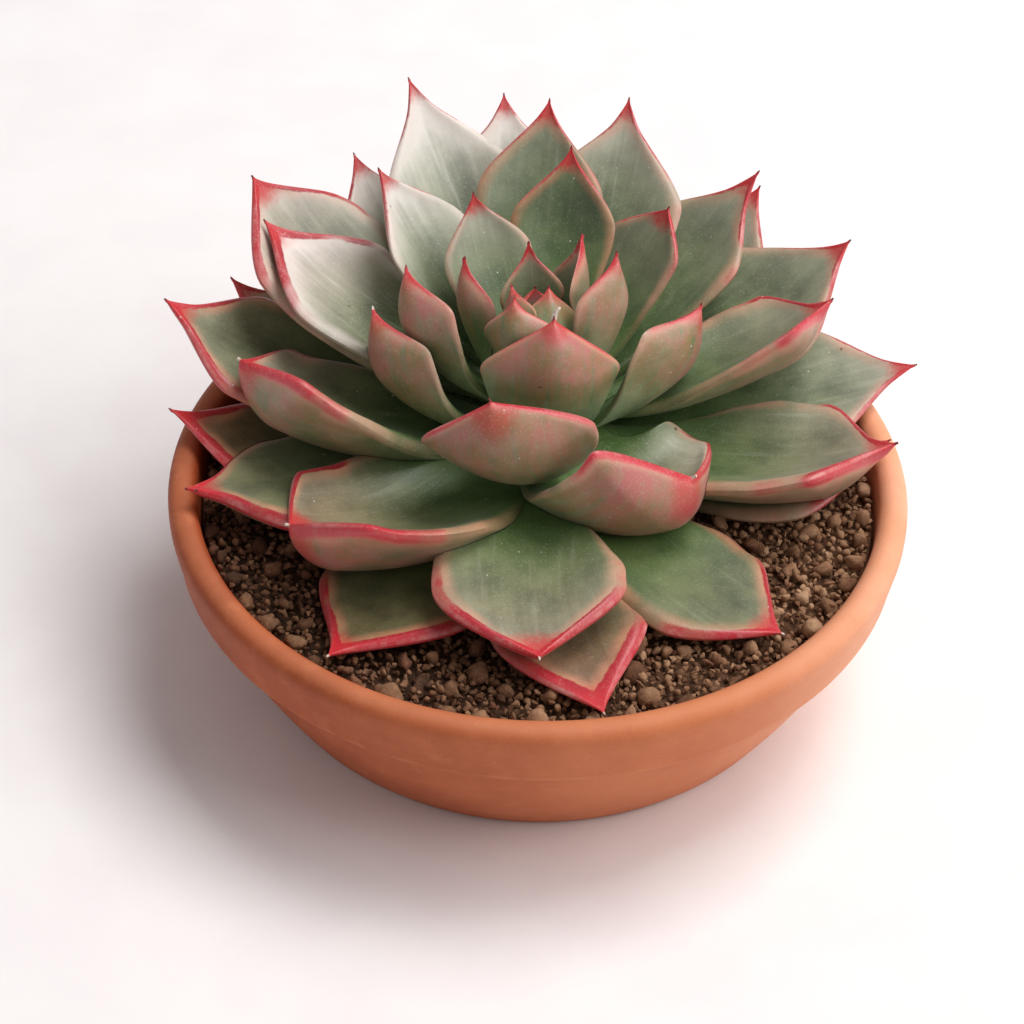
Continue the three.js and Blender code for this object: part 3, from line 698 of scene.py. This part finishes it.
# %% The rosette's rows
PLAIN = dict(plump=0.17, base=0.26, shoulder=0.64, sharp=0.6, roll=0, turn=0, lean=0, dried=0.0)
RINGS = [[
    dict(level=52, bow=0, cup=0.1, plump=0.13),
    (-80, 93, 49, 37, (1.0, 0.15, 0.2, 1.0), dict(lean=-4, sharp=0.4, dried=0.6)),
    (-49, 87, 50, 36, (0.7, 0.2, 1.0, 0.6),
     dict(lean=-5, shoulder=0.7, sharp=0.4, roll=-2, plump=0.16, dried=1.0)),
    (-121, 90, 50, 42, (0.85, 0.05, 0.3, 0.8), dict(lean=1, bow=2, roll=8, plump=0.16, dried=1.0)),
    (-3, 86, 58, 39, (0.8, 0.4, 0.4, 0.7), dict(level=48, lean=-4, bow=5)),
    (-178, 91, 60, 36, (0.95, 0.1, 0.2, 1.0), dict(level=49, lean=3, bow=6)),
    (-160, 89, 58, 42, (0.75, 0.2, 0.3, 0.9), dict(bow=2, shoulder=0.68, sharp=1, roll=10, plump=0.19)),
    (42, 76, 55, 38, (0.5, 0.5, 0.3, 0.6), dict(level=50, bow=2)),
    (76, 82, 58, 38, (0.5, 0.5, 0.3, 0.6), dict(bow=2)),
    (112, 82, 58, 38, (0.5, 0.5, 0.3, 0.6), dict(level=50, bow=3)),
    (148, 80, 55, 38, (0.5, 0.5, 0.3, 0.6), dict(level=49, bow=6)),
], [
    dict(level=56, bow=5, cup=0.25),
    (-89, 84, 58, 44, (0.8, 0.4, 0.7, 0.7),
     dict(level=55, lean=-3, bow=0, shoulder=0.7, sharp=0.2, dried=1.0)),
    (-140, 75.5, 64, 48, (0.9, 0.3, 0.5, 0.8),
     dict(level=59, turn=20, lean=7, bow=7,
          base=0.4, shoulder=0.86, sharp=-0.3, cup=0.45, roll=8, dried=1.0)),
    (13, 97, 61, 42, (0.5, 0.5, 0.4, 0.6), dict(level=56, lean=3, bow=5, plump=0.13, sharp=0.8, roll=8)),
    (-10, 87, 66, 45, (0.8, 0.45, 0.5, 0.7),
     dict(level=59, turn=-20, bow=8, cup=0.35, shoulder=0.75, sharp=1, roll=-8)),
    (156, 87, 72, 36, (0.6, 0.5, 0.2, 0.9), dict(level=52, bow=9)),
    (171, 94, 80, 39, (0.75, 0.3, 0.2, 0.7), dict(level=53, lean=-1, bow=8, shoulder=0.72, sharp=0.9)),
    (126, 86, 88, 36, (0.4, 0.9, 0.2, 0.6), dict(bow=8)),
    (98, 87, 97, 48, (0.3, 0.9, 0.2, 0.5), dict(bow=8, sharp=0.8)),
    (50, 86, 84, 40, (0.4, 0.5, 0.3, 0.6), dict(level=53, turn=10, bow=8)),
], [
    dict(level=59, bow=7, cup=0.3),
    (29, 88, 84, 42, (0.5, 0.4, 0.4, 0.6), dict(lean=2, bow=8, roll=5)),
    (149, 86, 97, 43, (0.75, 0.7, 0.2, 0.6), dict(bow=9, shoulder=0.72, sharp=0.4, roll=2)),
    (-177, 73, 77, 42, (0.85, 0.45, 0.3, 0.6),
     dict(turn=30, shoulder=0.78, sharp=0.3, cup=0.45, roll=10, plump=0.21, dried=1.0)),
    (-43, 50, 70, 50, (0.8, 0.5, 0.5, 0.9),
     dict(level=62, turn=-22, lean=-5, bow=9,
          base=0.5, shoulder=0.84, sharp=0, cup=0.55, roll=-4, dried=1.0)),
    (47, 79, 94, 32, (0.55, 0.4, 0.3, 0.6), dict(lean=4, cup=0.35, sharp=0.9)),
    (116, 83, 108, 36, (0.3, 0.95, 0.2, 0.5), dict(lean=-3, sharp=0.8)),
    (75, 79, 103, 38, (0.4, 0.55, 0.3, 0.5), dict(lean=-1, sharp=0.8)),
], [
    dict(level=64, bow=6, cup=0.35),
    (155, 77, 92, 36, (0.85, 1.0, 0.2, 0.5), dict(lean=2, bow=4)),
    (16, 74, 82, 33, (0.75, 0.4, 0.4, 0.8), dict(turn=-25, cup=0.5, shoulder=0.78, sharp=1, roll=-9)),
    (90, 65, 109, 32, (0.45, 0.32, 0.4, 0.5), dict(lean=2)),
    (137, 57, 104, 29, (0.35, 0.9, 0.3, 0.5), dict(lean=-3, cup=0.4, roll=10)),
    (-109, 36, 91, 42, (0.7, 0.5, 0.3, 0.8),
     dict(level=60, turn=16, lean=1, bow=8, shoulder=0.7, sharp=0, cup=0.25)),
], [
    dict(level=68, bow=5, cup=0.35, base=0.35),
    (49, 46, 98, 25, (0.6, 0.35, 0.5, 0.7), dict(lean=1, base=0.6, shoulder=0.75, sharp=0.2, roll=-10)),
    (83, 47, 107, 26, (0.5, 0.15, 0.5, 0.5), {}),
    (120, 36, 103, 24, (0.45, 0.55, 0.4, 0.5), {}),
    (13, 39, 88, 27, (0.65, 0.5, 0.4, 1.0), dict(level=62, turn=-50, base=0.55, roll=-14)),
    (175, 41, 88, 28, (0.6, 0.6, 0.4, 1.0), dict(level=62, turn=45, bow=8, roll=10, dried=1.0)),
    (166, 34, 97, 26, (0.6, 0.5, 0.4, 1.0), dict(turn=45, bow=6, roll=10)),
], [
    dict(level=68, bow=3, cup=0.4, base=0.4, sharp=0.8),
    (-78, 12, 98, 34, (0.55, 0.3, 0.3, 1.0),
     dict(level=64, turn=-6, bow=5, shoulder=0.52, sharp=0.15, base=0.65)),
    (22, 18, 104, 20, (0.6, 0.5, 0.4, 0.9), dict(turn=-60)),
    (150, 22, 98, 16, (0.6, 0.5, 0.4, 0.8), dict(turn=30, cup=0.7, roll=20)),
], [
    dict(level=74, bow=1, cup=0.4, base=0.5, shoulder=0.5, sharp=1),
    (108, 13, 102, 17, (0.7, 0.4, 0.4, 0.8), {}),
    (66, 21, 100, 17, (0.7, 0.4, 0.4, 0.8), dict(turn=-30, cup=0.8, roll=-20)),
    (-150, 8, 98, 18, (0.7, 0.4, 0.4, 0.8), dict(turn=40, bow=3, shoulder=0.64)),
]]
HEART = [
    dict(level=84, bow=0.5, cup=0.3, base=0.7, shoulder=0.45, sharp=0.8),
    (129, 3, 96, 13, (0.9, 0.3, 0.4, 0.9), {}),
    (166, 8, 97, 12, (0.9, 0.3, 0.4, 0.9), dict(turn=60)),
    (63, 2, 97, 15, (0.9, 0.3, 0.4, 0.9), dict(turn=-130)),
]
print("leaves:", sum(len(ring) - 1 for ring in RINGS), "and", len(HEART) - 1, "in the heart")

# %% [markdown]
# ## The stem
# The leaves sit on a short fleshy stem that stands upright in the grit and leans a little forward above
# it. Hardly any of it shows. Each lost leaf has left a scar, a shallow crescent in the skin, so the
# finish draws rows of pale scars round a spun shape.

# %% The stem's line
PLANT = Vector((0, 12 * MM, 0))
STEM_FOOT, STEM_BEND, STEM_TOP = 38 * MM, 46 * MM, 82 * MM
STEM_BACK_LOW, STEM_BACK_HIGH = 13 * MM, 9 * MM
STEM_RADIUS_LOW, STEM_RADIUS_HIGH = 11 * MM, 5 * MM


def climbed(level):
    return min(max((level - STEM_BEND) / (STEM_TOP - STEM_BEND), 0.0), 1.0)


def stem_centre(level):
    return Vector((0, between(STEM_BACK_LOW, STEM_BACK_HIGH, climbed(level)), level))


def stem_radius(level):
    return between(STEM_RADIUS_LOW, STEM_RADIUS_HIGH, ease(climbed(level)))


# %% The stem and its skin
stem_skin, bench, place = finish_bench("stem skin")
cork = bench.cloud(place, 0.004, 4.0, 0.6)
upright = {"Vector": place * bench.vector(1, 1, 2.2), "Scale": 190.0}
scars = bench.add("ShaderNodeTexVoronoi", None, upright, out="Distance")
bark = bench.blend("#8E8B60", "#A8916F", cork.rise(0.3, 0.7))
bench.dress({
    "Base Color": bench.blend(bark, "#C7B796", 0.6 * scars.rise(0.3, 0.15)),
    "Roughness": bench.between(0.65, 0.85, cork),
    "Normal": bench.relief(0.5, 0.0006, scars + 0.4 * cork),
})

STEM_STEPS = 24
levels = [between(STEM_BEND, STEM_TOP, i / STEM_STEPS) for i in range(STEM_STEPS + 1)]
profile = [(0, STEM_FOOT), (STEM_RADIUS_LOW, STEM_FOOT)]
profile += [*[(stem_radius(level), level) for level in levels], (0, STEM_TOP)]
column = spun("stem_column", profile, 48, lambda level: stem_centre(level).xy)
stem = show("stem_column", column, stem_skin)
stem.data.set_sharp_from_angle(angle=math.radians(50))
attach(stem, "root")
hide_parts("stem")
report(stem)


# %% Growing the leaves
BEND_AT = 0.55  # how far along the line from root to tip a leaf bends most
SMALL_WIDTH = 30  # leaves narrower than this, in millimetres, get a coarser mesh


def direction(azimuth):
    turn = math.radians(azimuth)
    return Vector((math.cos(turn), math.sin(turn), 0))


def leaf_sizes(row, ring, seed):
    """The leaf tree's inputs for one row of the table."""
    azimuth, reach, height, width, traits, own = row
    leaf = PLAIN | ring | own
    out = direction(azimuth + leaf["turn"])
    level = leaf["level"] * MM
    root = stem_centre(level) + out * (stem_radius(level) + GAP)
    tip = PLANT + direction(azimuth) * reach * MM
    tip.z = height * MM
    chord = tip - root
    across = Vector((-out.y, out.x, 0))
    under = across.cross(chord).normalized()
    bend = root + chord * BEND_AT + under * 2 * leaf["bow"] * MM + across * 2 * leaf["lean"] * MM
    blush, powder, fresh, dusk = traits
    sizes = {
        "Root": root,
        "Bend": bend,
        "Tip": tip,
        "Across": across,
        "Traits": (blush, powder, fresh),
        "Ends": (leaf["dried"], seed, dusk),
        "Width": width * MM,
        "Roll": math.radians(leaf["roll"]),
        "Spine": min(0.9, 0.04 * width) * MM,
        "Wave": min(1.0, width / 40),
        "Facets": 48 if width < SMALL_WIDTH else 72,
    }
    sizes |= {name.capitalize(): float(leaf[name]) for name in ("plump", "base", "shoulder", "sharp", "cup")}
    return {name: tuple(size) if isinstance(size, Vector) else size for name, size in sizes.items()}


leaves = {}
for r, (ring, *rows) in enumerate(RINGS, start=1):
    for i, row in enumerate(rows, start=1):
        leaves[f"leaf_ring{r}_{i}"] = grown(f"blade_{r}_{i}", leaf_rule, leaf_sizes(row, ring, r + i / 10))
ring, *rows = HEART
heart_leaves = [
    grown(f"heart_leaf_{i}", leaf_rule, leaf_sizes(row, ring, 9 + i / 10)) for i, row in enumerate(rows)
]
print("leaves grown:", len(leaves), "of", triangles(leaves["leaf_ring1_1"]), "triangles or fewer")

# %% [markdown]
# ## Leaves that press on each other
# Young leaves press their shape into the older ones. Without that, the root of one leaf would come
# through the face of the next. From the heart outwards, each leaf is cut by swollen copies of the leaves
# inside it, and of what the cut leaves only the largest part stays.

# %% Pressing the leaves
PRESSED_CLEAR = 0.15 * MM


def corners_of(mesh):
    """The places of a mesh's points, as rows of x, y and z."""
    places = np.empty(len(mesh.vertices) * 3)
    mesh.vertices.foreach_get("co", places)
    return places.reshape(-1, 3)


def swollen(leaf):
    """A copy of a leaf that is a little larger all round."""
    mesh = leaf.data.copy()
    outwards = np.empty(len(mesh.vertices) * 3)
    mesh.vertex_normals.foreach_get("vector", outwards)
    mesh.vertices.foreach_set("co", corners_of(mesh).ravel() + PRESSED_CLEAR * outwards)
    return bpy.data.objects.new("swollen", mesh)


def meet(first, second):
    """Whether the boxes round two meshes overlap."""
    a, b = corners_of(first.data), corners_of(second.data)
    return bool(np.all(a.min(axis=0) < b.max(axis=0)) and np.all(b.min(axis=0) < a.max(axis=0)))


def keep_largest(obj):
    """Of a mesh that a cut has left in pieces, only the piece with the most points stays."""
    cleaned = bmesh.new()
    cleaned.from_mesh(obj.data)
    unseen, islands = set(cleaned.verts), []
    while unseen:
        island, front = [], [unseen.pop()]
        while front:
            point = front.pop()
            island.append(point)
            beyond = {edge.other_vert(point) for edge in point.link_edges} & unseen
            unseen -= beyond
            front += beyond
        islands.append(island)
    islands.sort(key=len)
    bmesh.ops.delete(cleaned, geom=[point for island in islands[:-1] for point in island], context="VERTS")
    cleaned.to_mesh(obj.data)
    cleaned.free()


younger = [swollen(leaf) for leaf in heart_leaves]
pressed = 0
for leaf in reversed(leaves.values()):
    pressing = bpy.data.collections.new("pressing")
    for each in younger:
        if meet(leaf, each):
            pressing.objects.link(each)
    younger.append(swollen(leaf))
    if len(pressing.objects):
        cut = leaf.modifiers.new("pressed", "BOOLEAN")
        cut.operation, cut.solver = "DIFFERENCE", "MANIFOLD"
        cut.operand_type, cut.collection = "COLLECTION", pressing
        settled(leaf)
        keep_largest(leaf)
        leaf.data.set_sharp_from_angle(angle=math.radians(50))
        pressed += 1
    bpy.data.collections.remove(pressing)
for each in younger:
    bpy.data.objects.remove(each)
largest = max(triangles(leaf) for leaf in leaves.values())
print("pressed leaves:", pressed, "of", largest, "triangles or fewer")

# %% The heart
CORE_RADIUS, CORE_FLAT, CORE_HEIGHT = 6 * MM, 0.75, 87 * MM
CORE_DEPTH = CORE_RADIUS * CORE_FLAT
lifts = np.linspace(-math.pi / 2, math.pi / 2, 25)[1:-1]
profile = [(0, CORE_HEIGHT - CORE_DEPTH)]
profile += [(CORE_RADIUS * math.cos(lift), CORE_HEIGHT + CORE_DEPTH * math.sin(lift)) for lift in lifts]
profile.append((0, CORE_HEIGHT + CORE_DEPTH))
core = show("core", spun("core", profile, 32, lambda level: stem_centre(STEM_TOP).xy))


def joined(first, others):
    """Adds the meshes of the other objects to the first one's, and removes those objects."""
    whole = bmesh.new()
    for each in [first, *others]:
        whole.from_mesh(each.data)
    whole.to_mesh(first.data)
    whole.free()
    for each in others:
        bpy.data.objects.remove(each)


# The core reads as the lower face of a leaf, half way along it
CORE_NOTES = {"blade": (0, 0.55, -1), "edge": (-6, 12, 25), "traits": (0.6, 0.3, 0.5), "ends": (0, 9.5, 0.7)}
for name, value in CORE_NOTES.items():
    note = core.data.attributes.new(name, "FLOAT_VECTOR", "CORNER")
    note.data.foreach_set("vector", value * len(core.data.loops))

heart = heart_leaves[0]
heart.name = "heart_bud_leaves"
joined(heart, [*heart_leaves[1:], core])
heart.data.shade_smooth()
report(heart)

for node, leaf in [*leaves.items(), ("heart_bud", heart)]:
    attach(leaf, "root")
    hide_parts(node)

# %% [markdown]
# ## A dried tip
# The leaf in front of the heart has lost the end of its spine. What is left has dried to a pale, curled
# stub, a spun shape whose middle drifts aside as it climbs.

# %% The dried tip
dry_skin, bench, place = finish_bench("dried leaf tip")
crust = bench.cloud(place, 0.0008, 2.0)
bench.dress({"Base Color": bench.blend("#E9DFD0", "#C79F84", crust.rise(0.45, 0.7)), "Roughness": 0.6})

STUB_FROM, STUB_TO = 96.6 * MM, 99.7 * MM
STUB_FOOT = PLANT + direction(-78) * 11.6 * MM
STUB_THICK, STUB_THIN, STUB_STEPS = 0.8, 0.4, 10
climb = [i / STUB_STEPS for i in range(STUB_STEPS + 1)]
profile = [(between(STUB_THICK, STUB_THIN, t) * MM, between(STUB_FROM, STUB_TO, t)) for t in climb]
profile = [(0, STUB_FROM), *profile, (0, STUB_TO + 0.2 * MM)]


def curled(height):
    climb = (height - STUB_FROM) / (STUB_TO - STUB_FROM)
    return STUB_FOOT.x + 1.2 * MM * climb**2, STUB_FOOT.y + 0.5 * MM * climb


stub = show("dried_leaf_tip", spun("dried_leaf_tip", profile, 16, curled), dry_skin)
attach(stub, "root")
report(stub)

# %% [markdown]
# ## Grit
# Succulents stand in a gritty mix of broken lava, pumice and clay crumbs from a millimetre to over half a
# centimetre across. Every stone could be dropped by a physics run, but that is slow and settles
# differently with each change. Here three trees scatter stones at even random distances over the fill,
# large ones first, and smaller ones lower down between them. A stone is the convex hull of a handful of
# random points, which is just how a broken stone looks. The larger ones are then worn round and lumpy.

# %% The fill
GRIT_LEVEL = 45 * MM
GRIT_RADIUS = RIM_RADIUS - 2 * BEAD - 1 * MM
FILL_TOP = GRIT_LEVEL - 1.8 * MM

grit_finish, bench, place = finish_bench("grit")
tone, warm, _ = bench.noted("stone")
mottle = bench.cloud(place, 0.0014, 4.0, 0.65)
dust = bench.cloud(place, 0.0003, 2.0, 0.6)
# Each stone's own tone and mottling, with painted shade that darkens the stones towards the left
tone_and_painted_shade = (0.1 + 0.6 * tone + 0.7 * (mottle - 0.5) + 2.8 * place.parts()[0]).most(0).least(1)
stone = bench.ramp(tone_and_painted_shade, (0.0, "#422D20"), (0.3, "#6B4C37"), (0.65, "#9A7658"), (1.0, "#C49F7E"))
stone = bench.blend(stone, "#8E5440", 0.4 * warm * mottle)
bench.dress({
    "Base Color": bench.blend(stone, "#B5947A", 0.25 * dust.rise(0.55, 0.75)),
    "Roughness": 0.95,
    "Specular IOR Level": 0.2,
    "Normal": bench.relief(0.6, 0.0005, mottle + 0.5 * dust),
})

FILL_STEPS = 40
profile = [(0, FLOOR_THICKNESS + GAP), *[(radius - 2 * GAP, height + GAP) for radius, height in INSIDE]]
profile += [(GRIT_RADIUS * i / FILL_STEPS, FILL_TOP) for i in range(FILL_STEPS, 0, -1)] + [(0, FILL_TOP)]
fill = show("grit_fill", spun("grit_fill", profile, 128), grit_finish)
report(fill)


# %% The stones
WORN_SCALE, LUMP_SCALE, LUMP_HEIGHT = 1.4, 1.7, 1.1  # a smoothed stone is swollen, then dented by noise
MOST_SPOTS = 1.5e6  # in a square metre, before the spacing thins them out
FULL_TURN = 6.283


def stone_tree(kinds, points, crumbly):
    """Scatters stones of a few kinds over a disc, each kind the hull of so many random points."""
    tree, bench, given = new_tree(
        "stones", Collection="Leaves", Float="Reach Level Spread Spacing Smallest Largest", Int="Seed"
    )

    def chance(low, high, seed, kind="FLOAT"):
        sockets = {"Min": low, "Max": high, "Seed": seed}
        return bench.add("FunctionNodeRandomValue", {"data_type": kind}, sockets)

    hulls = []
    for k in range(kinds):
        spot = chance((-1, -1, -1), (1, 1, 1), 100 + k, "FLOAT_VECTOR")
        ball = spot.unit() * bench.vector(1.0, 0.72 + 0.07 * (k % 4), 0.65 + 0.1 * (k % 3))
        cloud = bench.shape("Points", Count=points, Position=ball)
        hull = bench.shape("ConvexHull", Geometry=cloud)
        if crumbly:
            hull = bench.shape("SubdivisionSurface", Mesh=hull, Level=1)
            corner = bench.shape("InputPosition")
            noise = {"Vector": corner + 5.0 * k, "Scale": LUMP_SCALE, "Detail": 2.0}
            lumps = bench.add("ShaderNodeTexNoise", None, noise, out="Color") - 0.5
            wear_and_ridge_highlight = corner * WORN_SCALE + lumps * LUMP_HEIGHT
            hull = bench.shape("SetPosition", Geometry=hull, Position=wear_and_ridge_highlight)
            hull = bench.shape("SetShadeSmooth", Geometry=hull)
        hulls.append(bench.shape("GeometryToInstance", Geometry=hull))
    kinds_of_stone = bench.shape("JoinGeometry", Geometry=hulls)

    disc = bench.shape("MeshCircle", {"fill_type": "NGON"}, Vertices=96, Radius=given["Reach"])
    spacing = {"Distance_Min": given["Spacing"], "Density_Max": MOST_SPOTS, "Seed": given["Seed"]}
    spots = bench.shape("DistributePointsOnFaces", {"distribute_method": "POISSON"}, Mesh=disc, **spacing)
    place = bench.shape("InputPosition")
    height = given["Level"] + chance(-1.0, 1.0, given["Seed"] + 11) * given["Spread"]
    ground = place * bench.vector(1, 1, 0)
    lifted = bench.shape("SetPosition", Geometry=spots, Position=ground + bench.vector(0, 0, height))
    size = bench.between(given["Smallest"], given["Largest"], chance(0.0, 1.0, given["Seed"] + 12) ** 1.6)
    stones = remember(bench, lifted, "size", size, "FLOAT", "POINT")
    foliage = bench.shape("CollectionInfo", Collection=given["Leaves"])
    foliage = bench.shape("RealizeInstances", Geometry=foliage)
    near = bench.add("GeometryNodeProximity", {"target_element": "FACES"}, {0: foliage}, out="Distance")
    from_stem = ground.distance((0, STEM_BACK_LOW, 0))
    blocked = near.under(size * 0.75) + from_stem.under(STEM_RADIUS_LOW + size)
    kept = bench.shape("DeleteGeometry", {"domain": "POINT"}, Geometry=stones, Selection=blocked)
    own_size = bench.shape("InputNamedAttribute", {"data_type": "FLOAT"}, Name="size")
    turn = chance((0, 0, 0), (FULL_TURN,) * 3, given["Seed"] + 13, "FLOAT_VECTOR")
    laid = bench.shape(
        "InstanceOnPoints",
        Points=kept,
        Instance=kinds_of_stone,
        Pick_Instance=True,
        Instance_Index=chance(0, kinds - 1, given["Seed"] + 14, "INT"),
        Rotation=turn,
        Scale=bench.vector(own_size, own_size, own_size),
    )
    look = chance((0, 0, 0), (1, 1, 1), given["Seed"] + 15, "FLOAT_VECTOR")
    end_tree(bench, remember(bench, laid, "stone", look, domain="INSTANCE"), grit_finish)
    return tree


foliage = bpy.data.collections.new("foliage")
for leaf in leaves.values():
    foliage.objects.link(leaf)

# Each layer's kinds of stone, points in a hull and whether it is worn; its sizes in millimetres, of which
# the level is measured from the grit's own and spread is how far it varies; and its seed
SIZES = ["Spacing", "Smallest", "Largest", "Level", "Spread"]
LAYERS = {
    "grit_clods": ((6, 14, True), (7.2, 2.0, 3.3, 0.6, 0.6), 3),
    "grit_chips": ((9, 8, True), (2.0, 1.1, 1.8, 0.1, 0.9), 21),
    "grit_crumbs": ((6, 9, False), (1.4, 0.8, 1.2, -0.3, 0.7), 40),
}
stones = []
for name, (shape, sizes, seed) in LAYERS.items():
    sizes = {label: size * MM for label, size in zip(SIZES, sizes)}
    sizes |= {"Level": GRIT_LEVEL + sizes["Level"], "Reach": GRIT_RADIUS - sizes["Smallest"]}
    layer = grown(name, stone_tree(*shape), sizes | {"Leaves": foliage, "Seed": seed})
    stones.append(layer)
    report(layer)
for piece in [fill, *stones]:
    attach(piece, "root")
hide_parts("grit")

# %% [markdown]
# ## The end
# The dressed plant keeps the size of the CAD model. At the end the scene is brought up to date.

# %% Bringing the scene up to date
bpy.context.view_layer.update()
